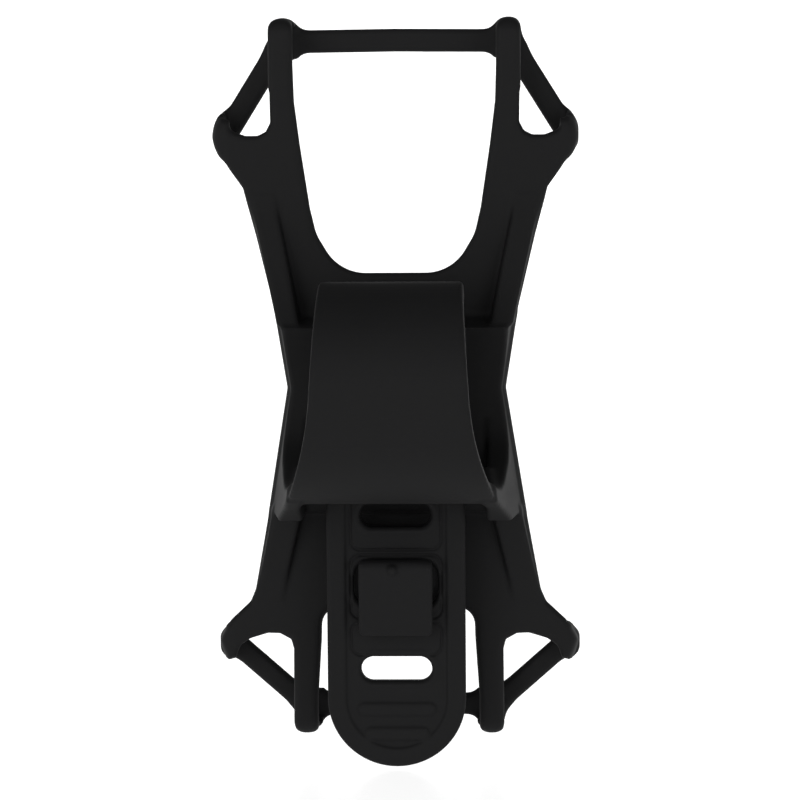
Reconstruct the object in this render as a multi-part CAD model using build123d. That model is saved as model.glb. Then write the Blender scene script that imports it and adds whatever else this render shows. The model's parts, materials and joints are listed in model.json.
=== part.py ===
from build123d import *
import os
from math import cos, radians, sin

# Silicone bicycle phone holder. Millimetres. The origin is on the handlebar's axis, at the
# holder's middle. +X is to the right seen from behind, +Y points to the phone, +Z is up.

# Phone pocket
phone_w, phone_t, phone_h = 67.3, 7.3, 138.4
phone_corner_r = 9.0
phone_z = 2.4  # the phone's centre, above the bar's axis
wrap_t = 2.5  # wall round the phone
plate_t = 2.6  # back wall
pocket_y = 23.1  # face that touches the phone's back
plate_y = pocket_y - plate_t
front_y = pocket_y + phone_t
wrap_edge_r = 2.4
top_z = phone_z + phone_h / 2
bottom_z = phone_z - phone_h / 2
side_x = phone_w / 2

# Handlebar and strap
bar_r = 15.9
strap_t = 3.2
strap_r = bar_r + strap_t
trough_r = strap_r + 0.1
leave_angle = 15.0  # where the strap leaves the bar on its way down to the slot
slot_z = -20.2  # where it turns straight down, inside the slot
crown_z = 23.8
strap_end_z = -73.2
tongue_y = 12.0  # middle of the tongue's thickness
tongue_half_w = 13.6
return_half_w = 13.8

# Block and slot
block_top_z, block_bottom_z = 13.5, -23.8
block_inset = 1.4
block_foot_x = 23.9
slot_half_w = 18.0
slot_gap = 0.2
slot_floor_t = 1.2  # its floor falls back to the plate, and is this thick at its lower end
rim_y = 2.0  # the trough's rim
trough_rim_z = -4.0
leg_top_z = -17.0
leg_foot_y = 8.0
leg_toe_y, leg_toe_z = -4.3, -18.85  # where the leg's front runs into the strap's curve
leg_root_x, leg_toe_x = 24.3, 20.6
far = 90.0  # beyond every part, for cutting

# Hinges of bent rubber: a round edge in a rounded gap
upper_fold_z, lower_fold_z = 16.6, -45.0
fold_y = plate_y + plate_t / 2
fold_gap_r = 2.3
tab_fold_z, grip_fold_z = -48.9, -58.6
tab_gap_r = 2.5

# Fingers
finger_w = 4.9
top_finger_x, bottom_finger_x = 22.35, 18.5
top_tip_z, bottom_tip_z = 62.5, -58.0  # how far the tips come back in front of the phone
upper_bay_z, lower_bay_z = 50.7, -48.2
band_h = 5.5
side_root_x = 33.0  # where the arms end and the side fingers begin
# A side finger's near and far edge: behind the phone, and in front of it.
upper_side_back, upper_side_front = (44.2, 52.6), (49.0, 54.8)
lower_side_back, lower_side_front = (-46.2, -53.0), (-49.6, -54.8)
side_taper = 4.8  # how much it narrows going out from the arm
side_lean = 2.8  # and how much its far edge leans in there
arm_rib_foot_z = 18.8
rib_end_t = 0.3

# Strap holes and hook
hole_w, hole_h, hole_pitch = 13.9, 5.0, 10.2
first_hole_z = -23.1
hook_hole_w, hook_hole_h, hook_hole_z = 16.8, 10.2, -36.5
neck_w, neck_top_z, neck_bottom_z = 13.6, -32.3, -40.0
neck_corner_r = 2.8
head_w, head_top_z, head_bottom_z = 14.4, -31.5, -46.5
head_y0, head_y1 = 6.9, 9.7
lip_fold_z = -41.2
lip_gap_r = 2.1
head_corner_r = 1.0
dot_x, dot_z, dot_r, dot_rise = -0.6, -33.6, 1.2, 0.5
panel_depth = 0.5
grip_panel_top_z, grip_panel_bottom_z = -61.2, -68.9
grip_panel_half_w, grip_panel_r = 9.5, 3.0
grip_rib_h, grip_rib_rise = 2.2, 0.4
grip_rib_sizes = [(-63.1, 15.0), (-66.9, 12.0)]  # height and length of each

made = {}


def prism_y(points, y0, y1, r=0.0):
    """Solid from an outline of (x, z) points, from y0 to y1, with corners rounded to r."""
    outline = make_face(Polyline(*points, close=True).edges())
    if r:
        outline = fillet(outline.vertices(), r)
    return extrude(Plane((0, y1, 0), x_dir=(1, 0, 0), z_dir=(0, -1, 0)) * outline, y1 - y0)


def prism_x(points, x0, x1):
    """Solid from an outline of (y, z) points, from x0 to x1."""
    outline = make_face(Polyline(*points, close=True).edges())
    return extrude(Plane((x0, 0, 0), x_dir=(0, 1, 0), z_dir=(1, 0, 0)) * outline, x1 - x0)


def rod_x(r, y, z, half=60.0):
    """Cylinder along X."""
    return Pos(0, y, z) * Rot(0, 90, 0) * Cylinder(r, 2 * half)


def mirrored(solid):
    return mirror(solid, Plane.YZ)


def both(points):
    """The outline with its mirror image across the middle."""
    return points + [(-x, z) for x, z in reversed(points)]


def save(name, solid):
    made[name] = solid


def save_pair(name, solid):
    save(name + "_right", solid)
    save(name + "_left", mirrored(solid))


def at_angle(r, angle):
    """Point (y, z) at radius r, angle in degrees up from the direction of the phone."""
    return r * cos(radians(angle)), r * sin(radians(angle))


def arc_points(r, start, end, steps=24):
    return [at_angle(r, start + (end - start) * i / steps) for i in range(steps + 1)]


# ---- the wrap round the phone, cut into regions below
def phone_wrap():
    def block(grow, y0, y1):
        sketch = RectangleRounded(phone_w + 2 * grow, phone_h + 2 * grow, phone_corner_r + grow)
        plane = Plane((0, y1, phone_z), x_dir=(1, 0, 0), z_dir=(0, -1, 0))
        return extrude(plane * sketch, y1 - y0)

    outside = block(wrap_t, plate_y, front_y + wrap_t)
    outside = fillet(outside.faces().filter_by(Axis.Y).edges(), wrap_edge_r)
    return outside - block(0.0, pocket_y, front_y)


wrap = phone_wrap()
waist = [(23.6, block_top_z), (21.6, 0.9), (25.9, -25.7), (28.4, -40.4)]
low_wall, high_wall = plate_y - 1, front_y + wrap_t + 1
middle_y = pocket_y + phone_t / 2


def fold_edge(z):
    """The moving side's rounded edge, as thick as the plate."""
    return rod_x(plate_t / 2, fold_y, z)


def plate(points):
    return prism_y(points, plate_y, pocket_y)


# ---- back plate: waist and the web that carries the hook
web_half = 24.0
low_hinge_x0, low_hinge_x1 = 15.2, 31.9
arch_corner_r, u_corner_r = 4.0, 9.0
arch_line = [(15.2, -42.8), (15.3, -50.0), (16.05, -62.0), (16.05, -far)]
lower_edge = [(29.6, -42.7), (low_hinge_x1, lower_fold_z)]
back = plate(both([(web_half, upper_fold_z)] + waist + lower_edge))
arch = prism_y(both(arch_line), low_wall, high_wall)
arch = fillet(arch.edges().filter_by(Axis.Y).group_by(Axis.Z)[-1], arch_corner_r)
back = back - arch - rod_x(fold_gap_r, fold_y, upper_fold_z) - rod_x(fold_gap_r, fold_y, lower_fold_z)
save("back_plate", back)

# ---- saddle block
inset_outline = [(x - block_inset, z) for x, z in waist[:2]] + [(block_foot_x, block_bottom_z)]
block_outline = both(inset_outline)
block_side = [
    (plate_y, block_top_z),
    (plate_y, block_bottom_z),
    (leg_foot_y, block_bottom_z),
    (leg_toe_y, leg_toe_z),
    (leg_toe_y, trough_rim_z),
    (rim_y, trough_rim_z),
    (rim_y, block_top_z),
]
slot_floor_y = tongue_y + strap_t / 2 + slot_gap
channel = [
    at_angle(trough_r, -leave_angle),
    (slot_floor_y, slot_z),
    (plate_y - slot_floor_t, block_bottom_z),
    (plate_y - slot_floor_t, -far),
    (-far, -far),
    (-far, trough_rim_z),
]
block_blank = prism_x(block_side, -far, far) & prism_y(block_outline, -far, far)
saddle = block_blank - rod_x(trough_r, 0, 0) - prism_x(channel, -slot_half_w, slot_half_w)
below_legs = Pos(0, 0, leg_top_z - far) * Box(2 * far, 2 * far, 2 * far)
beside_slot = Pos(far + slot_half_w, 0, 0) * Box(2 * far, 2 * far, 2 * far)
between_legs = Box(2 * slot_half_w, 2 * far, 2 * far)
save("saddle_block", saddle - below_legs)
save("slot_floor", saddle & below_legs & between_legs)

# The legs carry the strap's root, and lean in towards it.
leg_draft = [(leg_root_x, plate_y), (leg_toe_x, leg_toe_y), (0, leg_toe_y), (0, plate_y)]
draft_plane = Plane((0, 0, -far), x_dir=(1, 0, 0), z_dir=(0, 0, 1))
draft = extrude(draft_plane * make_face(Polyline(*leg_draft, close=True).edges()), 2 * far)
leg = (block_blank - rod_x(strap_r, 0, 0)) & below_legs & beside_slot & draft
save_pair("slot_leg", leg)

# ---- strap: root panel, front run, crown, return run
# The strap narrows from its root to the crown: half widths at heights.
flare = [
    (21.4, -24.0), (20.4, -19.4), (18.9, -14.5), (17.3, -9.0),
    (16.0, -4.0), (15.3, 1.4), (14.6, 12.0), (14.1, 19.0), (13.7, 26.0),
]
flare_prism = prism_y(both(flare), -far, far)
strap_ring = rod_x(strap_r, 0, 0) - rod_x(bar_r, 0, 0)
root_start, root_end = 296.0, 180.0  # from under the bar round to the front


def sector(start, end, half_w):
    """Wedge round the bar's axis between two angles."""
    return prism_x([(0, 0)] + arc_points(2 * strap_r, start, end), -half_w, half_w)


save("strap_root_panel", strap_ring & sector(root_start, root_end, far) & flare_prism)

run_top = 5.0
strap_mid_r = bar_r + strap_t / 2
run = Pos(0, -strap_mid_r, run_top / 2) * Box(far, strap_t, run_top)
save("strap_front_run", run & flare_prism)

# The crown is an arch from the front run to the return run's top, slack over the bar.
return_top_angle = 47.0
crown_y = -2.5
crown_line = Spline(
    (-strap_mid_r, run_top),
    (crown_y, crown_z - strap_t / 2),
    at_angle(strap_mid_r, return_top_angle),
    tangents=[(0, 1), (sin(radians(return_top_angle)), -cos(radians(return_top_angle)))],
    tangent_scalars=[1.5, 1.2],
)
crown_plane = Plane((-far / 2, 0, 0), x_dir=(0, 1, 0), z_dir=(1, 0, 0))
crown = extrude(crown_plane * trace(crown_line, strap_t), far)
save("strap_crown", crown & flare_prism)

return_arc = strap_ring & sector(return_top_angle, -leave_angle, return_half_w)
tongue_front, tongue_back = tongue_y - strap_t / 2, tongue_y + strap_t / 2
chute = [
    at_angle(bar_r, -leave_angle),
    at_angle(strap_r, -leave_angle),
    (tongue_back, slot_z),
    (tongue_front, slot_z),
]
save("strap_return_run", return_arc + prism_x(chute, -return_half_w, return_half_w))


# ---- strap tongue, tab and grip
def strap_slab(z0, z1, half_w):
    centre = Pos(0, tongue_y, (z0 + z1) / 2)
    return centre * Box(2 * half_w, strap_t, z0 - z1)


def slot_hole(width, height, z):
    plane = Plane((0, tongue_y + strap_t, z), x_dir=(1, 0, 0), z_dir=(0, -1, 0))
    return extrude(plane * SlotOverall(width, height), 2 * strap_t)


def tab_edge(z):
    return rod_x(strap_t / 2, tongue_y, z, tongue_half_w)


def grip_panel():
    """Shallow recess in the grip's outer face."""
    side = [(grip_panel_half_w, grip_panel_top_z), (grip_panel_half_w, grip_panel_bottom_z)]
    return prism_y(both(side), tongue_front - 1, tongue_front + panel_depth, grip_panel_r)


tongue = strap_slab(slot_z, tab_fold_z, tongue_half_w) - rod_x(tab_gap_r, tongue_y, tab_fold_z)
tongue -= slot_hole(hole_w, hole_h, first_hole_z)
tongue -= slot_hole(hook_hole_w, hook_hole_h, hook_hole_z)
save("strap_tongue", tongue)

tab = strap_slab(tab_fold_z, grip_fold_z, tongue_half_w) - rod_x(tab_gap_r, tongue_y, grip_fold_z)
tab += tab_edge(tab_fold_z)
save("strap_tab", tab - slot_hole(hole_w, hole_h, first_hole_z - 3 * hole_pitch))

grip_plane = Plane((0, tongue_back, 0), x_dir=(1, 0, 0), z_dir=(0, -1, 0))
end_centre_z = strap_end_z + tongue_half_w
grip = strap_slab(grip_fold_z, end_centre_z - 1.0, tongue_half_w)
grip += extrude(grip_plane * Pos(0, end_centre_z) * Circle(tongue_half_w), strap_t)
grip -= Pos(0, 0, far + grip_fold_z) * Box(2 * far, 2 * far, 2 * far)
grip += tab_edge(grip_fold_z)
save("strap_grip", grip - grip_panel())


def grip_rib(z, length):
    """Rounded bar raised from the floor of the grip's recess."""
    plane = Plane((0, tongue_front + panel_depth, z), x_dir=(1, 0, 0), z_dir=(0, -1, 0))
    return extrude(plane * SlotOverall(length, grip_rib_h), panel_depth + grip_rib_rise)


save("grip_ribs", Compound(children=[grip_rib(z, length) for z, length in grip_rib_sizes]))

# ---- hook
neck_h = neck_top_z - neck_bottom_z
neck_mid = (neck_top_z + neck_bottom_z) / 2
neck_length = plate_y - head_y1
neck = Pos(0, (plate_y + head_y1) / 2, neck_mid) * Box(neck_w, neck_length, neck_h)
save("hook_neck", fillet(neck.edges().filter_by(Axis.Y), neck_corner_r))
head_z = (head_top_z + lip_fold_z) / 2
head_t = head_y1 - head_y0
head_y = (head_y0 + head_y1) / 2
head = Pos(0, head_y, head_z) * Box(head_w, head_t, head_top_z - lip_fold_z)
head = fillet(head.edges().filter_by(Axis.Y).group_by(Axis.Z)[-1], head_corner_r)
head -= rod_x(lip_gap_r, head_y, lip_fold_z)
save("hook_head", head)
dot_plane = Plane((dot_x, head_y0, dot_z), z_dir=(0, -1, 0))
save("hook_dot", extrude(dot_plane * Circle(dot_r), dot_rise))
lip = Pos(0, head_y, (lip_fold_z + head_bottom_z) / 2) * Box(head_w, head_t, lip_fold_z - head_bottom_z)
lip = fillet(lip.edges().filter_by(Axis.Y).group_by(Axis.Z)[0], head_corner_r)
save("hook_lip", lip + rod_x(head_t / 2, head_y, lip_fold_z, head_w / 2))

# ---- upper harness
cut_in = [(14.6, 23.6), (16.2, 34.0), (18.6, 50.0), (19.9, 68.0), (19.9, far)]
u_cut = prism_y(both(cut_in), low_wall, high_wall)
u_cut = fillet(u_cut.edges().filter_by(Axis.Y).group_by(Axis.Z)[0], u_corner_r)
web_top_z = 24.0
web_top_half = 25.7
web = plate(both([(web_half, upper_fold_z), (web_top_half, web_top_z)]))
web += rod_x(plate_t / 2, fold_y, upper_fold_z, web_half)
save("upper_web", web - u_cut)
arm_line = [(web_top_half, web_top_z), (27.4, 31.1), (29.4, 38.0), (30.0, 40.5)]
arm_line += [(side_root_x, upper_side_back[0])]
arm_top = [(side_root_x, upper_bay_z), (12.0, upper_bay_z), (8.0, web_top_z)]
save_pair("upper_arm", plate(arm_line + arm_top) - u_cut)


def buttress(inner, outer, foot_z, head_z, height):
    """Wedge on the plate's outer face, from height at foot_z to nothing at head_z."""
    line = [(inner[0], foot_z), (outer[0], foot_z), (outer[1], head_z), (inner[1], head_z)]
    slope = [
        (plate_y, foot_z),
        (plate_y - height, foot_z),
        (plate_y - rib_end_t, head_z),
        (plate_y, head_z),
    ]
    return prism_y(line, plate_y - 2 * height, plate_y) & prism_x(slope, -far, far)


save_pair("arm_rib", buttress((20.0, 24.0), (23.6, 28.6), arm_rib_foot_z, 37.0, 5.0))
save_pair("leg_rib", buttress((18.8, 22.6), (24.2, 27.6), block_bottom_z, -40.0, 3.2))


# ---- fingers and front bands, all cut from the wrap
def wrap_end(sign, bay_z, front_z, x, half_w):
    """Finger over the top (sign 1) or bottom (sign -1) edge, from the bay round to the front."""
    side = [(x - half_w, sign * far), (x + half_w, sign * far)]
    rear = prism_y([(x + half_w, bay_z), (x - half_w, bay_z)] + side, low_wall, middle_y)
    front = prism_y([(x + half_w, front_z), (x - half_w, front_z)] + side, middle_y, high_wall)
    return wrap & (rear + front)


def side_finger(sign, back, front):
    """Finger round the phone's side, between heights behind and heights in front of the phone."""
    slant = [(low_wall, back[0]), (pocket_y, back[0]), (front_y, front[0]), (high_wall, front[0])]
    slant += [(high_wall, front[1]), (front_y, front[1]), (pocket_y, back[1]), (low_wall, back[1])]
    outer = side_x + wrap_t
    taper = [(side_root_x, back[0]), (outer, back[0] + sign * side_taper)]
    taper += [(outer, front[1] - sign * side_lean), (side_x, front[1]), (side_root_x, front[1])]
    return wrap & prism_x(slant, side_root_x, far) & prism_y(taper, low_wall, high_wall)


def front_band(points):
    return wrap & prism_y(points, front_y, high_wall)


finger_half = finger_w / 2
save_pair("top_finger", wrap_end(1, upper_bay_z, top_tip_z, top_finger_x, finger_half))
save_pair("upper_side_finger", side_finger(1, upper_side_back, upper_side_front))
finger_outer = top_finger_x + finger_half
corner = [(side_root_x, z) for z in upper_side_front]
corner += [(finger_outer, 70.4), (finger_outer, top_tip_z)]
save_pair("upper_corner_band", front_band(corner))
finger_inner = top_finger_x - finger_half
save("top_front_band", front_band(both([(finger_inner, top_z - band_h), (finger_inner, far)])))

# ---- lower harness
low_arm = [(low_hinge_x0, lower_fold_z), (low_hinge_x1, lower_fold_z)]
low_arm += [(side_root_x, lower_side_back[0]), (side_root_x, lower_bay_z), (low_hinge_x0, lower_bay_z)]
low_arm = plate(low_arm)
knuckle = rod_x(plate_t / 2, fold_y, lower_fold_z, (low_hinge_x1 - low_hinge_x0) / 2)
low_arm += Pos((low_hinge_x1 + low_hinge_x0) / 2, 0, 0) * knuckle
save_pair("lower_arm", low_arm - arch)
save_pair("bottom_finger", wrap_end(-1, lower_bay_z, bottom_tip_z, bottom_finger_x, finger_half))
save_pair("lower_side_finger", side_finger(-1, lower_side_back, lower_side_front))
low_outer = bottom_finger_x + finger_half
low_corner = [(side_root_x, z) for z in lower_side_front]
low_corner += [(low_outer, -66.0), (low_outer, bottom_tip_z)]
save_pair("lower_corner_band", front_band(low_corner))
low_inner = bottom_finger_x - finger_half
save("bottom_front_band", front_band(both([(low_inner, bottom_z + band_h), (low_inner, -far)])))

os.makedirs("parts", exist_ok=True)
for name, solid in made.items():
    export_step(solid, f"parts/{name}.step")
    print(name, round(solid.volume, 1))
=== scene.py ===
import json
import math

import bpy
import numpy as np
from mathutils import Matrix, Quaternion, Vector

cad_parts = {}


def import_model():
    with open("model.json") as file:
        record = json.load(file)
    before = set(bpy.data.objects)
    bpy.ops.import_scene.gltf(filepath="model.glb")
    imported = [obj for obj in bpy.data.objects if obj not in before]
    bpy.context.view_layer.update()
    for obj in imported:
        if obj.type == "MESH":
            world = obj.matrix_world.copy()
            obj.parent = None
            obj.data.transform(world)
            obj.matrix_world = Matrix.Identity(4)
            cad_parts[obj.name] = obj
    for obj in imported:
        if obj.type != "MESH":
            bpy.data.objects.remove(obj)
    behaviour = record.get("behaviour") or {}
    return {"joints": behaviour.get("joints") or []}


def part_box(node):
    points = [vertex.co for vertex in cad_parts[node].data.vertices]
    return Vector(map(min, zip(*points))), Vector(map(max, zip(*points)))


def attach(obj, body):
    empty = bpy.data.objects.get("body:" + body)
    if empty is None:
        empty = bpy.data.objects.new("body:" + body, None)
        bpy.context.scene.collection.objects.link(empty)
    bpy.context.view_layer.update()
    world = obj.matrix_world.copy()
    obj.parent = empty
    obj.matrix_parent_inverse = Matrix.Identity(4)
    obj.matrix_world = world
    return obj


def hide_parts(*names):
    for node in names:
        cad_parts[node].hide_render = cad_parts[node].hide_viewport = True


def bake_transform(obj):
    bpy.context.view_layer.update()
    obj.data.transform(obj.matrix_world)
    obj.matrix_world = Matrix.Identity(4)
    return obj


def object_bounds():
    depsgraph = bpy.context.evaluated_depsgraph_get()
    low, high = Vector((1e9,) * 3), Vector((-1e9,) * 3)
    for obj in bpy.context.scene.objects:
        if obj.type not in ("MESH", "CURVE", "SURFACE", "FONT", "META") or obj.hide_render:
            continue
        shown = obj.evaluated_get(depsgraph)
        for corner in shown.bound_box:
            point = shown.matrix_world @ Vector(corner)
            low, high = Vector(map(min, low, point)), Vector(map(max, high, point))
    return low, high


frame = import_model()
cad_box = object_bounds()

# Lengths are in millimetres in the frame of the CAD.
MM = 0.001


def box_mm(node):
    low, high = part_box(node)
    return [v / MM for v in low], [v / MM for v in high]


def hinge_at(name):
    joint = next(j for j in frame["joints"] if j["name"] == name)
    return [v / MM for v in joint["pos_m"]]


plate_low, plate_high = box_mm("back_plate")
finger_low, finger_high = box_mm("top_finger_right")
low_finger_low, low_finger_high = box_mm("bottom_finger_right")
tongue_low, tongue_high = box_mm("strap_tongue")
head_low, head_high = box_mm("hook_head")
neck_low, neck_high = box_mm("hook_neck")
run_low, run_high = box_mm("strap_front_run")
_, side_high = box_mm("upper_side_finger_right")
_, block_high = box_mm("saddle_block")
_, crown_high = box_mm("strap_crown")
grip_low, _ = box_mm("strap_grip")
lip_low, _ = box_mm("hook_lip")
floor_low, _ = box_mm("slot_floor")
leg_low, _ = box_mm("slot_leg_right")

phone_t = 7.3
plate_y, pocket_y = plate_low[1], plate_high[1]
wall = finger_high[1] - pocket_y - phone_t
front_y = pocket_y + phone_t
tip_top, tip_bottom = finger_high[2], low_finger_low[2]
phone_half_h = (tip_top - tip_bottom) / 2 - wall
phone_half_w = side_high[0] - wall
phone_corner_r = 9.0
phone_mid_z = (tip_top + tip_bottom) / 2
phone_mid_y = (pocket_y + front_y) / 2
strap_t = run_high[1] - run_low[1]
bar_r = -run_high[1]
trough_r = bar_r + strap_t - 0.2  # the strap's skin lies against the trough without a gap
block_top, block_foot = block_high[2], leg_low[2]
slot_half_w = leg_low[0]
slot_y = floor_low[1]


# ---- signed distances on a grid, negative inside
def smooth_min(a, b, r):
    h = np.maximum(r - np.abs(a - b), 0.0)
    return np.minimum(a, b) - h * h / (4.0 * r)


def smooth_max(a, b, r):
    return -smooth_min(-a, -b, r)


def segments(px, pz, ends):
    """For each straight piece: the squared distance, and what a crossing test needs."""
    for (ax, az), (bx, bz) in ends:
        ex, ez = bx - ax, bz - az
        wx, wz = px - ax, pz - az
        t = np.clip((wx * ex + wz * ez) / (ex * ex + ez * ez), 0, 1)
        crosses = ((az > pz) != (bz > pz)) & (wx * ez * ez < ex * wz * ez)
        yield (wx - ex * t) ** 2 + (wz - ez * t) ** 2, crosses


def polygon(px, pz, points):
    """Distance to a closed outline in two axes."""
    nearest = np.full(np.broadcast(px, pz).shape, 1e9, np.float32)
    inside = np.zeros(nearest.shape, bool)
    for square, crosses in segments(px, pz, zip(points, points[1:] + points[:1])):
        nearest = np.minimum(nearest, square)
        inside ^= crosses
    return np.where(inside, -1.0, 1.0).astype(np.float32) * np.sqrt(nearest)


def ribbon(px, pz, points, half_t):
    """Distance to a band of that half thickness along an open line."""
    nearest = 1e9
    for square, _ in segments(px, pz, zip(points, points[1:])):
        nearest = np.minimum(nearest, square)
    return np.sqrt(nearest) - half_t


def rounded_box2(px, pz, half_x, half_z, r):
    """Distance to a rounded rectangle in two axes."""
    qx, qz = np.abs(px) - half_x + r, np.abs(pz) - half_z + r
    outside = np.sqrt(np.maximum(qx, 0) ** 2 + np.maximum(qz, 0) ** 2)
    return outside + np.minimum(np.maximum(qx, qz), 0) - r


def slab(p, low, high):
    """Distance to the space between two parallel planes."""
    return np.abs(p - (low + high) / 2) - (high - low) / 2


def neighbours(axis, part):
    """Slices that pair each grid point with the next one along the axis."""
    here, after = list(part), list(part)
    here[axis], after[axis] = slice(0, -1), slice(1, None)
    return tuple(here), tuple(after)


def cell_points(field, cells):
    """The mean crossing point in every cell, and how many edges the surface crosses there."""
    total = np.zeros(cells + (3,), np.float32)
    count = np.zeros(cells, np.int16)
    for axis in range(3):
        here, after = neighbours(axis, [slice(None)] * 3)
        a, b = field[here], field[after]
        crossed = (a < 0) != (b < 0)
        t = np.where(crossed, a / np.where(crossed, a - b, 1), 0)
        u, v = [i for i in range(3) if i != axis]
        for du in (0, 1):
            for dv in (0, 1):
                part = [slice(None)] * 3
                part[u] = slice(du, du + cells[u])
                part[v] = slice(dv, dv + cells[v])
                hit = crossed[tuple(part)]
                count += hit
                total[..., axis] += np.where(hit, t[tuple(part)], 0)
                total[..., u] += np.where(hit, du, 0)
                total[..., v] += np.where(hit, dv, 0)
    return total, count


def mesh_of(field, origin, step):
    """Surface nets: a vertex in each cell that the surface crosses, a face on each crossed edge."""
    cells = tuple(n - 1 for n in field.shape)
    total, count = cell_points(field, cells)
    used = count > 0
    index = np.full(cells, -1, np.int64)
    index[used] = np.arange(used.sum())
    verts = np.array(origin) + (np.argwhere(used) + total[used] / count[used][:, None]) * step
    solid = field < 0
    faces = []
    for axis in range(3):
        u, v = (axis + 1) % 3, (axis + 2) % 3
        here, after = neighbours(axis, [slice(1, -1)] * 3)
        a, b = solid[here], solid[after]
        for order, crossed in ((1, a & ~b), (-1, b & ~a)):
            ring = []
            for du, dv in ((0, 0), (1, 0), (1, 1), (0, 1)):
                corner = np.argwhere(crossed)
                corner[:, u] += du
                corner[:, v] += dv
                ring.append(index[corner[:, 0], corner[:, 1], corner[:, 2]])
            faces.append(np.stack(ring, 1)[:, ::order])
    return verts, np.concatenate(faces)


def grid_axes(low, high, step):
    return [np.arange(a, b + step, step, dtype=np.float32) for a, b in zip(low, high)]


def spread(axes):
    x, y, z = axes
    return x[:, None, None], y[None, :, None], z[None, None, :]


def part_of(axes, low, high):
    """The part of the grid inside a box: its slices and its coordinates."""
    cut = tuple(slice(*np.searchsorted(axis, (a, b))) for axis, a, b in zip(axes, low, high))
    return cut, spread([axis[s] for axis, s in zip(axes, cut)])


# ---- the wall round the phone, and where it is kept
top_finger_x = (finger_low[0] + finger_high[0]) / 2
bottom_finger_x = (low_finger_low[0] + low_finger_high[0]) / 2
finger_half = (finger_high[0] - finger_low[0]) / 2
tip_r = 2.4
tip_h = 8.0  # half the height of the rounded box that ends in a tip
tips_down = 0.3  # the tips stand a little lower than the CAD's
top_tip_z, low_tip_z = 66.0, -62.0  # from here out a finger is kept at its full depth
upper_side = (46.2, 55.2, 0.45)  # a side finger's near and far heights, and its far edge's lean
lower_side = (47.6, 54.8, 0.8)
waist = [(23.6, block_top), (21.6, 0.9), (25.9, -25.7)]
off = 90.0  # beyond the object
mid = -30.0  # across the middle, so that a mirrored outline has no edge there


def finger_tips(ax, z):
    """The rounded ends of the top and bottom fingers, seen from behind."""
    top = rounded_box2(ax - top_finger_x, z - tip_top + tip_h + tips_down, finger_half, tip_h, tip_r)
    low_z = z - tip_bottom - tip_h + tips_down
    bottom = rounded_box2(ax - bottom_finger_x, low_z, finger_half, tip_h, tip_r)
    return np.minimum(top, bottom)


def body_outline(ax, z):
    """The body's outline seen from behind, without its finger tips."""
    top_outer, bottom_outer = top_finger_x + finger_half, bottom_finger_x + finger_half
    edge = [
        (mid, tip_top - tip_r), (top_outer, tip_top - tip_r), (top_outer - 0.3, 53.2), (25.4, 51.5),
        (27.0, 50.7), (29.4, 50.7), (33.0, 52.0), (34.0, 53.6), (34.4, 47.2), (32.7, 44.2), (30.0, 40.4),
        (29.3, 37.6), (27.5, 31.1), (24.0, 16.6), *waist, (28.3, -39.4), (29.5, -42.0), (33.2, -45.5),
        (34.4, -47.0), (34.0, -53.6), (33.0, -53.0), (31.4, -50.8), (29.6, -49.5), (26.0, -48.4),
        (23.6, -48.5), (bottom_outer + 0.5, -49.7), (bottom_outer, -51.5),
        (bottom_outer + 0.1, tip_bottom + tip_r), (mid, tip_bottom + tip_r),
    ]
    cut_r, arch_r = 9.0, 3.6
    window = [
        (mid, 32.6), (5.9, 32.6), (7.1, 34.6), (7.9, 38.0), (9.1, 46.0), (9.7, 50.0), (10.7, 58.0),
        (11.0, 68.0), (11.0, off), (mid, off),
    ]
    arch = [
        (mid, -43.2 - arch_r), (15.2 - arch_r, -43.2 - arch_r), (15.3 - arch_r, -50.0),
        (16.1 - arch_r, -62.0), (16.1 - arch_r, -off), (mid, -off),
    ]
    flat = np.maximum(polygon(ax, z, edge), cut_r - polygon(ax, z, window))
    return np.maximum(flat, arch_r - polygon(ax, z, arch))


def phone_wall(ax, y, z):
    """A wall all round the phone."""
    edge_r = 1.2
    across = rounded_box2(ax, z - phone_mid_z, phone_half_w, phone_half_h, phone_corner_r) + edge_r
    deep = np.abs(y - phone_mid_y) - phone_t / 2 + edge_r
    outside = np.sqrt(np.maximum(across, 0) ** 2 + np.maximum(deep, 0) ** 2)
    phone = np.minimum(np.maximum(across, deep), 0) + outside - edge_r
    return np.abs(phone - wall / 2) - wall / 2


def side_finger(ax, y, z, near_z, far_z, far_lean):
    """Keeps the wall at the phone's side between two heights, narrowing as it goes out."""
    near_lean, rear_inset, reach_in = 0.45, 1.6, 1.2
    evened = 0.7  # a leaning edge would otherwise rise faster than a true distance
    narrow = np.maximum(ax - phone_half_w, 0) ** 2
    rear = np.clip((pocket_y + 1.5 - y) / 3.0, 0, 1)
    far = np.abs(z) - far_z + far_lean * narrow + rear_inset * rear
    near = near_z + near_lean * narrow - np.abs(z)
    return np.maximum(evened * np.maximum(far, near), phone_half_w - reach_in - ax)


def front_bands(ax, z):
    """The bands that run from corner to corner in front of the phone."""
    top_half_w, low_half_w = 2.3, 2.2
    top_line = [(36.0, 50.4), (33.0, 52.0), (24.0, 66.4), (20.5, 68.8), (mid, 69.3)]
    low_line = [(36.0, -51.2), (33.2, -52.2), (21.0, -63.0), (17.5, -64.6), (mid, -64.8)]
    return np.minimum(ribbon(ax, z, top_line, top_half_w), ribbon(ax, z, low_line, low_half_w))


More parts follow.
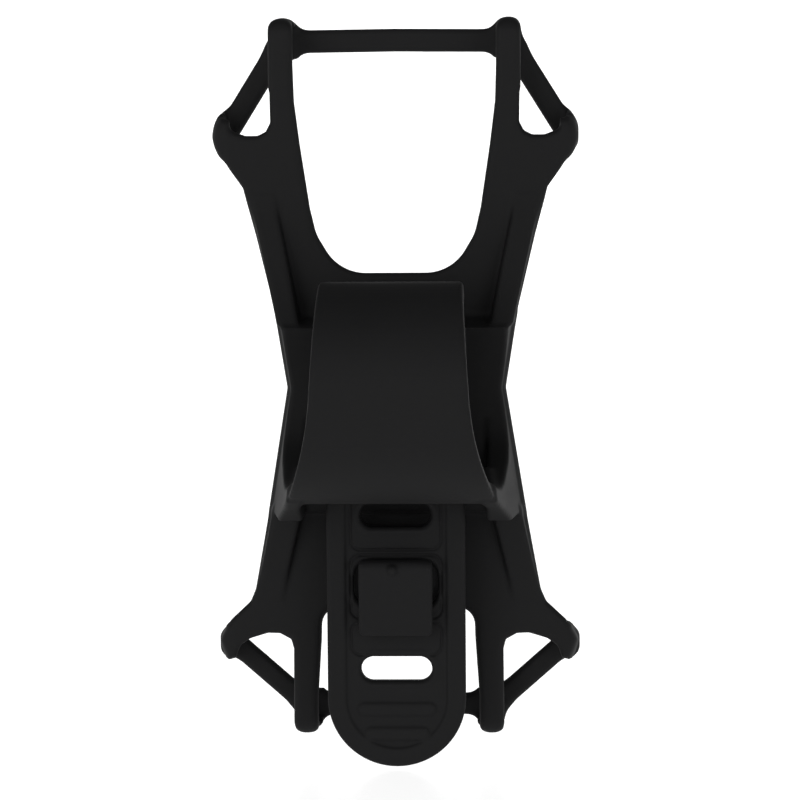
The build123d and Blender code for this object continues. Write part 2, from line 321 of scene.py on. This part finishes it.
def wrap_field(x, y, z):
    """Plate, arms, fingers and front bands."""
    band_fillet, side_fillet, edge_round = 3.0, 1.2, 1.4
    ax = np.abs(x)
    tips = finger_tips(ax, z)
    flat = np.minimum(body_outline(ax, z), tips)
    sides = np.where(z > 0, side_finger(ax, y, z, *upper_side), side_finger(ax, y, z, *lower_side))
    ends = np.maximum(tips, np.where(z > 0, top_tip_z - z, z - low_tip_z))
    bands = smooth_min(front_bands(ax, z), ends, band_fillet)
    rear = np.maximum(flat, y - phone_mid_y)
    front = np.maximum(bands, phone_mid_y - y)
    kept = smooth_min(np.minimum(np.minimum(rear, front), ends), sides, side_fillet)
    return smooth_max(phone_wall(ax, y, z), kept, edge_round)


# ---- saddle block with its trough, slot and legs
def solid_block(ax, y, z):
    """The block and its legs before the cuts, narrower the further they stand from the plate."""
    inset, taper, leg_taper, edge_round = 0.7, 0.095, 0.055, 0.8
    side = polygon(y, z, [
        (plate_y + 1.5, block_top + 2.0), (plate_y - 0.5, block_top + 1.4), (13.4, block_top),
        (2.0, block_top), (2.0, -4.0),
        (-6.5, -10.0), (-6.9, -17.8), (8.0, block_foot), (plate_y + 1.5, block_foot),
    ])
    outline = polygon(ax, z, [(mid, 40), (26.0, 24.0), (24.4, 16.6), *waist, (26.0, -40), (mid, -40)])
    legs = np.clip((-10.0 - z) / 8.0, 0, 1)
    draft = inset + (taper + leg_taper * legs) * np.maximum(plate_y - y, 0)
    return smooth_max(side, outline + draft, edge_round)


def trough(y, z):
    """The hollow round the bar, cut less deep below it, where the strap's root fills the space."""
    root_from, root_over = -22.0, 45.0
    angle = np.degrees(np.arctan2(z, y))
    root = np.clip((root_from - angle) / root_over, 0, 1)
    root = root * root * (3 - 2 * root)
    return np.sqrt(y * y + z * z) - (trough_r - (strap_t - 0.6) * root)


def slot_between_legs(ax, y, z):
    """The open slot that the tongue hangs in."""
    channel = polygon(y, z, [
        (18.5, -5.0), (slot_y, tongue_high[2]), (plate_y - 1.2, block_foot - 0.2), (plate_y - 1.2, -40),
        (-40, -40), (-40, -4),
    ])
    return smooth_max(channel, ax - slot_half_w, 1.0)


def block_field(x, y, z):
    cut_round = 0.6
    ax = np.abs(x)
    block = smooth_max(solid_block(ax, y, z), -trough(y, z), cut_round)
    return smooth_max(block, -slot_between_legs(ax, y, z), cut_round)


def buttress(x, y, z, x_inner, x_outer, z_foot, z_head, height):
    """Rib on the plate that slopes from its height at the foot to nothing at the head."""
    ax = np.abs(x)
    along = (z - z_foot) / (z_head - z_foot)
    inner = x_inner[0] + (x_inner[1] - x_inner[0]) * along
    outer = x_outer[0] + (x_outer[1] - x_outer[0]) * along
    top = (plate_y - height * (1 - along)) - y
    ends = slab(z, min(z_foot, z_head), max(z_foot, z_head))
    rib = smooth_max(smooth_max(np.maximum(inner - ax, ax - outer), top, 0.9), y - plate_y - 1.0, 0.3)
    return smooth_max(rib, ends - 0.6, 0.6)


def upper_rib(x, y, z):
    return buttress(x, y, z, (18.7, 23.6), (23.2, 28.6), block_top + 0.9, 38.5, 6.2)


def lower_rib(x, y, z):
    return buttress(x, y, z, (18.6, 23.0), (24.6, 28.4), block_foot + 0.8, -41.5, 3.4)


def centred(x, z, low, high, r):
    """Rounded rectangle over a node's box, seen from behind."""
    half_w, half_h = (high[0] - low[0]) / 2, (high[2] - low[2]) / 2
    return rounded_box2(x, z - (low[2] + high[2]) / 2, half_w, half_h, r)


def hook_field(x, y, z):
    """The hook's neck and head, with the small dot on the head."""
    neck = smooth_max(centred(x, z, neck_low, neck_high, 2.6), slab(y, head_low[1] + 1.0, plate_y + 1.0), 0.6)
    face = centred(x, z, [head_low[0], 0, lip_low[2]], head_high, 1.1)
    head = smooth_max(face, slab(y, head_low[1], head_high[1]), 0.55)
    roll_r = 2.2  # of the head's outer top edge
    over = np.maximum(z - (head_high[2] - roll_r), 0) ** 2 + np.maximum(head_low[1] + roll_r - y, 0) ** 2
    head = smooth_max(head, np.sqrt(over) - roll_r, 0.4)
    dot_x, dot_sunk, dot_down, dot_r = -0.6, 0.35, 2.0, 1.15
    from_dot = (x - dot_x) ** 2 + (y - head_low[1] - dot_sunk) ** 2 + (z - head_high[2] + dot_down) ** 2
    dot = np.sqrt(from_dot) - dot_r
    return smooth_min(smooth_min(neck, head, 0.8), dot, 0.35)


# ---- strap loop: one ribbon along a line in the (y, z) plane
mid_r = bar_r + strap_t / 2
tongue_y = (tongue_low[1] + tongue_high[1]) / 2
tongue_top_z = tongue_high[2]
rim_angle = 47.0  # where the strap comes down into the trough, in degrees up from +Y
root_top_z, root_back_y = -13.5, 10.0
return_half_w = 13.7  # the strap's half width on the phone's side of the bar


def arc(start, end, steps):
    """Points on the strap's circle round the bar."""
    angles = np.radians(np.linspace(start, end, steps))
    return [(mid_r * math.cos(a), mid_r * math.sin(a)) for a in angles]


def hermite(p, q, leave, arrive, steps):
    """Curve from p to q with the end directions given."""
    points = []
    for t in np.linspace(0, 1, steps)[1:]:
        weights = (2 * t**3 - 3 * t**2 + 1, t**3 - 2 * t**2 + t, 3 * t**2 - 2 * t**3, t**3 - t**2)
        points.append(tuple(sum(w * v[i] for w, v in zip(weights, (p, leave, q, arrive))) for i in (0, 1)))
    return points


def strap_line():
    """From the root under the bar, up the front run, over the crown and down the trough to the slot."""
    foot, top = (-mid_r, run_high[2]), (-2.5, crown_high[2] - strap_t / 2)
    rim = arc(rim_angle, rim_angle, 1)[0]
    down = (math.sin(math.radians(rim_angle)), -math.cos(math.radians(rim_angle)))
    line = arc(300, 180, 40) + [foot]
    line += hermite(foot, top, (0, 26.0), (25.0, 0), 22)
    line += hermite(top, rim, (22.0, 0), [18.0 * v for v in down], 22)
    line += arc(rim_angle - 1, -15, 20)
    return line + [(tongue_y + 0.2, tongue_top_z + 1.4)]


def strap_half_width(z):
    """Flared where it leaves the legs, then narrowing slowly to the crown."""
    half_w, narrowing, flared_by = 15.3, 0.065, 5.6
    flare = np.maximum(2.0 - z, 0) / 22.0
    return half_w - narrowing * np.maximum(z, 0) + flared_by * flare**1.6


def is_root(y, z):
    return (z < root_top_z) & (y < root_back_y)


def loop_field(x, y, z):
    band = ribbon(y, z, strap_line(), strap_t / 2)
    behind = np.clip((y - 1.0) / 5.0, 0, 1)
    half = strap_half_width(z) * (1 - behind) + behind * return_half_w
    half = np.where(is_root(y, z), strap_half_width(z), half)
    return smooth_max(band, np.abs(x) - half, 0.8)


BODY_STEP = 0.36
body_low, body_high = (-38.0, -21.0, -70.5), (38.0, 34.5, 76.5)
axes = grid_axes(body_low, body_high, BODY_STEP)
body = np.full(tuple(len(a) for a in axes), 5.0, np.float32)


def add(shape, low, high, r):
    """Joins a shape to the body with a fillet, inside the box that holds it."""
    cut, (x, y, z) = part_of(axes, low, high)
    body[cut] = smooth_min(body[cut], shape(x, y, z), r)


add(wrap_field, (-off, plate_y - 3, -off), (off, off, off), 0.01)
add(block_field, (-28, -9, block_foot - 2), (28, plate_y + 2.5, 18), 1.2)
add(upper_rib, (-32, plate_y - 8, block_top - 3), (32, plate_y + 2.5, 42), 0.9)
add(lower_rib, (-32, plate_y - 6, -44), (32, plate_y + 2.5, block_foot + 3), 0.9)
add(hook_field, (-9, head_low[1] - 2, lip_low[2] - 2), (9, plate_y + 2.5, head_high[2] + 2), 1.4)

loop_cut, (x, y, z) = part_of(axes, (-24, -21, -24.5), (24, 20.5, 26))
loop = loop_field(x, y, z)
# The strap's fillet is thin beside the bar, wider below the bar's axis, and widest at the root.
thin_fillet, low_fillet, root_fillet = 0.12, 0.8, 1.6
seam = thin_fillet + low_fillet * np.clip(-z / 6.0, 0, 1)
fillet = np.where(is_root(y, z), root_fillet, seam).astype(np.float32)
body[loop_cut] = smooth_min(body[loop_cut], loop, fillet)
body_verts, body_faces = mesh_of(body, body_low, BODY_STEP)


def near_loop(points):
    """Which points lie on the strap's own surface."""
    at = np.rint((points - body_low) / BODY_STEP).astype(int) - [s.start for s in loop_cut]
    inside = np.all((at >= 0) & (at < loop.shape), axis=1)
    near = np.zeros(len(points), bool)
    near[inside] = loop[tuple(at[inside].T)] < BODY_STEP
    return near


def settle(faces, chosen, rounds=12):
    """Each face follows most of the faces round its corners, so that no stray few are left."""
    corners = faces.ravel()
    around = np.bincount(corners)
    for _ in range(rounds):
        share = np.bincount(corners, np.repeat(chosen, 4)) / np.maximum(around, 1)
        chosen = share[faces].mean(1) > 0.5
    return chosen


# ---- tongue, with its holes, border, cells and grip ribs
TONGUE_STEP = 0.2
first_hole_z, hole_pitch = -23.1, 10.2
hole_half_w, hole_half_h = 6.95, 2.4
hook_hole_z, hook_hole_half_w, hook_hole_half_h, hook_hole_r = -36.8, 8.3, 4.7, 3.8
panel_half_w, panel_depth, panel_wall = 9.9, 0.55, 0.13
cell_heights = ((-15.0, -30.0), (-31.0, -43.6), (-44.3, -50.9))  # each cell's top and bottom
cell_half_w, cell_r, cell_line_w, cell_line_depth = 8.9, 2.0, 0.28, 0.3
grip_ribs = ((-61.7, 7.7), (-66.6, 6.3))  # each rib's height and half width
rib_half_h, rib_height, rib_wall = 1.25, 0.55, 0.18
rim_offset, rim_w, rim_height = 0.9, 0.55, 0.22  # the raised rim round each hole


def stadium(px, pz, half_w, half_h):
    """Distance to a bar with round ends."""
    return rounded_box2(px, pz, half_w, half_h, half_h - 0.01)


def rounded_end(x, z, half_w):
    """The tongue's outline, or one inset from it, with its round lower end."""
    end_z = grip_low[2] + (tongue_high[0] - tongue_low[0]) / 2
    return np.where(z > end_z, np.abs(x), np.sqrt(x**2 + (z - end_z) ** 2)) - half_w


def step_up(distance, width):
    """One inside the outline, nothing outside it, with a soft wall."""
    return 1 / (1 + np.exp(np.clip(distance / width, -30, 30)))


def groove(distance, width, depth):
    """A line of that depth along an outline."""
    return depth * np.exp(-((distance / width) ** 2))


def tongue_holes(x, z):
    """The hook's hole, with a spare one above it and one below."""
    holes = rounded_box2(x, z - hook_hole_z, hook_hole_half_w, hook_hole_half_h, hook_hole_r)
    for hole_z in (first_hole_z, first_hole_z - 3 * hole_pitch):
        holes = np.minimum(holes, stadium(x, z - hole_z, hole_half_w, hole_half_h))
    return holes


def tongue_relief(x, z, holes):
    """How far the face lies below the tongue's border."""
    relief = panel_depth * step_up(rounded_end(x, z, panel_half_w), panel_wall)
    for high_z, low_z in cell_heights:
        cell = rounded_box2(x, z - (high_z + low_z) / 2, cell_half_w, (high_z - low_z) / 2, cell_r)
        relief = relief + groove(cell, cell_line_w, cell_line_depth)
    for rib_z, rib_half_w in grip_ribs:
        relief = relief - rib_height * step_up(stadium(x, z - rib_z, rib_half_w, rib_half_h), rib_wall)
    return relief - groove(holes - rim_offset, rim_w, rim_height)


def tongue_field(x, y, z):
    """The whole tongue, from the slot down to the end of its grip."""
    holes = tongue_holes(x, z)
    outline = np.maximum(rounded_end(x, z, tongue_high[0]), z - tongue_top_z - 1.2)
    faces = np.maximum(tongue_low[1] + tongue_relief(x, z, holes) - y, y - tongue_high[1])
    return smooth_max(smooth_max(outline, -holes, 0.3), faces, 0.8)


tongue_corner = (-14.5, tongue_low[1] - 1.6, grip_low[2] - 0.6)
tongue_axes = grid_axes(tongue_corner, (14.5, tongue_high[1] + 1.2, tongue_top_z + 2.0), TONGUE_STEP)
tongue = tongue_field(*spread(tongue_axes)).astype(np.float32)
tongue_verts, tongue_faces = mesh_of(tongue, tongue_corner, TONGUE_STEP)


# ---- silicone
def new_node(mat, kind, settings):
    """A new node of the material, with those inputs set."""
    node = mat.node_tree.nodes.new(kind)
    for name, value in settings.items():
        node.inputs[name].default_value = value
    return node


def silicone():
    """Matt black rubber: a slow drift in tone and roughness, and a fine moulded grain."""
    mat = bpy.data.materials.new("black_silicone")
    mat.use_nodes = True
    shader = mat.node_tree.nodes["Principled BSDF"]
    shader.inputs["Specular IOR Level"].default_value = 0.13
    place = new_node(mat, "ShaderNodeTexCoord", {})
    grain = new_node(mat, "ShaderNodeTexNoise", {"Scale": 2600.0, "Detail": 2.0})
    cloud = new_node(mat, "ShaderNodeTexNoise", {"Scale": 60.0, "Detail": 3.0})
    tone = new_node(mat, "ShaderNodeValToRGB", {})
    tone.color_ramp.elements[0].color = (0.0048, 0.0048, 0.0050, 1)
    tone.color_ramp.elements[1].color = (0.0072, 0.0072, 0.0076, 1)
    rough = new_node(mat, "ShaderNodeMapRange", {"To Min": 0.60, "To Max": 0.74})
    bump = new_node(mat, "ShaderNodeBump", {"Strength": 0.2, "Distance": 0.00004})
    for source, output, target, socket in (
        (place, "Object", grain, "Vector"),
        (place, "Object", cloud, "Vector"),
        (cloud, "Fac", tone, "Fac"),
        (tone, "Color", shader, "Base Color"),
        (cloud, "Fac", rough, "Value"),
        (rough, "Result", shader, "Roughness"),
        (grain, "Fac", bump, "Height"),
        (bump, "Normal", shader, "Normal"),
    ):
        mat.node_tree.links.new(source.outputs[output], target.inputs[socket])
    return mat


rubber = silicone()


# ---- pieces: the body's skin and the tongue's, cut beside each hinge and round the strap
def piece(name, verts, faces, keep):
    """A mesh object of the faces that keep picks out."""
    faces = faces[keep]
    used, remap = np.unique(faces, return_inverse=True)
    mesh = bpy.data.meshes.new(name)
    mesh.from_pydata((verts[used] * MM).tolist(), [], remap.reshape(faces.shape).tolist())
    mesh.validate()
    mesh.polygons.foreach_set("use_smooth", [True] * len(mesh.polygons))
    mesh.materials.append(rubber)
    obj = bpy.data.objects.new(name, mesh)
    bpy.context.scene.collection.objects.link(obj)
    return obj


def bend(obj):
    """Bakes obj's transform into its mesh, leaving obj at the origin."""
    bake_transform(obj)


SIDES = ("_right", "_left")


def pairs(*names):
    return [name + side for name in names for side in SIDES]


centre = body_verts[body_faces].mean(1)
fold_up, fold_low = hinge_at("upper_harness_fold")[2], hinge_at("lower_harness_fold")[2]
upper_from_z, upper_from_y = fold_up - 2.2, 13.0
lower_from_z, lower_from_y = fold_low + 3.2, 17.0
hook_top_z, hook_to_y = -29.0, plate_y - 3.0
is_upper = (centre[:, 2] > upper_from_z) & (centre[:, 1] > upper_from_y)
is_lower = (centre[:, 2] < lower_from_z) & (centre[:, 1] > lower_from_y)
is_hook = (centre[:, 1] < hook_to_y) & (centre[:, 2] < hook_top_z) & ~is_lower
is_loop = settle(body_faces, near_loop(centre)) & ~(is_upper | is_lower | is_hook)
is_core = ~(is_upper | is_lower | is_hook | is_loop)
core = piece("core_body", body_verts, body_faces, is_core)
upper = piece("upper_corner_loops", body_verts, body_faces, is_upper)
lower = piece("lower_corner_loops", body_verts, body_faces, is_lower)
hook = piece("strap_hook", body_verts, body_faces, is_hook)
loop_skin = piece("strap_loop", body_verts, body_faces, is_loop)

height = tongue_verts[tongue_faces].mean(1)[:, 2]
tab_start = hinge_at("strap_tab_lift")[2] + 2.6
grip_start = hinge_at("strap_grip_curl")[2] + 2.3
tongue_skin = piece("strap_tongue_skin", tongue_verts, tongue_faces, height >= tab_start)
tab_skin = piece("strap_tab_skin", tongue_verts, tongue_faces, (height < tab_start) & (height > grip_start))
grip_skin = piece("strap_grip_skin", tongue_verts, tongue_faces, height <= grip_start)

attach(core, "core")
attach(loop_skin, "core")
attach(tongue_skin, "core")
bend(upper)
bend(lower)
bend(hook)
bend(tab_skin)
bend(grip_skin)

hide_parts("back_plate", "saddle_block", "slot_floor", *pairs("slot_leg", "leg_rib"), "hook_neck")
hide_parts("upper_web", "top_front_band",
            *pairs("upper_arm", "arm_rib", "top_finger", "upper_side_finger", "upper_corner_band"))
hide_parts("bottom_front_band",
            *pairs("lower_arm", "bottom_finger", "lower_side_finger", "lower_corner_band"))
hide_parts("hook_head", "hook_dot", "hook_lip")
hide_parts("strap_root_panel", "strap_front_run", "strap_crown", "strap_return_run")
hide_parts("strap_tongue")
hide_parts("strap_tab")
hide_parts("strap_grip", "grip_ribs")


# ---- floor, lights and camera
def pale_floor():
    """A wide floor with a wall far off, so that a low view meets no dark horizon."""
    mat = bpy.data.materials.new("pale_floor")
    mat.use_nodes = True
    shader = mat.node_tree.nodes["Principled BSDF"]
    shader.inputs["Base Color"].default_value = (0.6, 0.6, 0.6, 1)
    shader.inputs["Emission Color"].default_value = (1, 1, 1, 1)
    shader.inputs["Emission Strength"].default_value = 0.79
    shader.inputs["Roughness"].default_value = 0.2
    mesh = bpy.data.meshes.new("floor")
    reach_m, wall_m, floor_m = 60.0, 14.0, cad_box[0][2] - 0.0005
    corners = [(-reach_m, -reach_m), (reach_m, -reach_m), (reach_m, reach_m), (-reach_m, reach_m)]
    verts = [(a, b, floor_m) for a, b in corners] + [(a, b, wall_m) for a, b in corners]
    walls = [(i, (i + 1) % 4, 4 + (i + 1) % 4, 4 + i) for i in range(4)]
    mesh.from_pydata(verts, [], [(0, 1, 2, 3)] + walls)
    mesh.materials.append(mat)
    floor = bpy.data.objects.new("floor", mesh)
    bpy.context.scene.collection.objects.link(floor)


def area_light(name, place_m, size_m, power):
    """A soft light that faces the bar."""
    light = bpy.data.lights.new(name, "AREA")
    light.shape = "RECTANGLE"
    light.size, light.size_y = size_m
    light.energy = power
    obj = bpy.data.objects.new(name, light)
    obj.location = place_m
    obj.rotation_euler = (-Vector(place_m)).to_track_quat("-Z", "Y").to_euler()
    bpy.context.scene.collection.objects.link(obj)


def world():
    """Even white light from all round."""
    studio = bpy.data.worlds.new("studio")
    studio.use_nodes = True
    studio.node_tree.nodes["Background"].inputs["Color"].default_value = (1, 1, 1, 1)
    studio.node_tree.nodes["Background"].inputs["Strength"].default_value = 0.25
    bpy.context.scene.world = studio
    bpy.context.scene.view_settings.view_transform = "Standard"


def camera():
    """Behind the mount and a little above it, with a long lens."""
    azimuth, elevation, roll = math.radians(2.2), math.radians(6.7), math.radians(-0.45)
    distance_m, visible_m = 0.75, 0.1586
    aim_right_m, aim_down_m = 0.0006, 0.00425
    aim = Vector((aim_right_m, pocket_y * MM, phone_mid_z * MM - aim_down_m))
    lens = bpy.data.cameras.new("camera")
    lens.sensor_width = 36.0
    lens.lens = lens.sensor_width * distance_m / visible_m
    lens.clip_start, lens.clip_end = 0.01, 200.0
    eye = bpy.data.objects.new("camera", lens)
    back = Vector((math.sin(azimuth) * math.cos(elevation), -math.cos(azimuth) * math.cos(elevation),
                   math.sin(elevation)))
    eye.location = aim + back * distance_m
    turn = (-back).to_track_quat("-Z", "Y") @ Quaternion((0, 0, 1), roll)
    eye.rotation_euler = turn.to_euler()
    bpy.context.scene.collection.objects.link(eye)
    bpy.context.scene.camera = eye


pale_floor()
area_light("key", (-0.6, -1.0, 0.4), (0.7, 0.9), 5)
area_light("fill", (0.7, -1.0, 0.3), (0.6, 0.9), 3)
world()
camera()
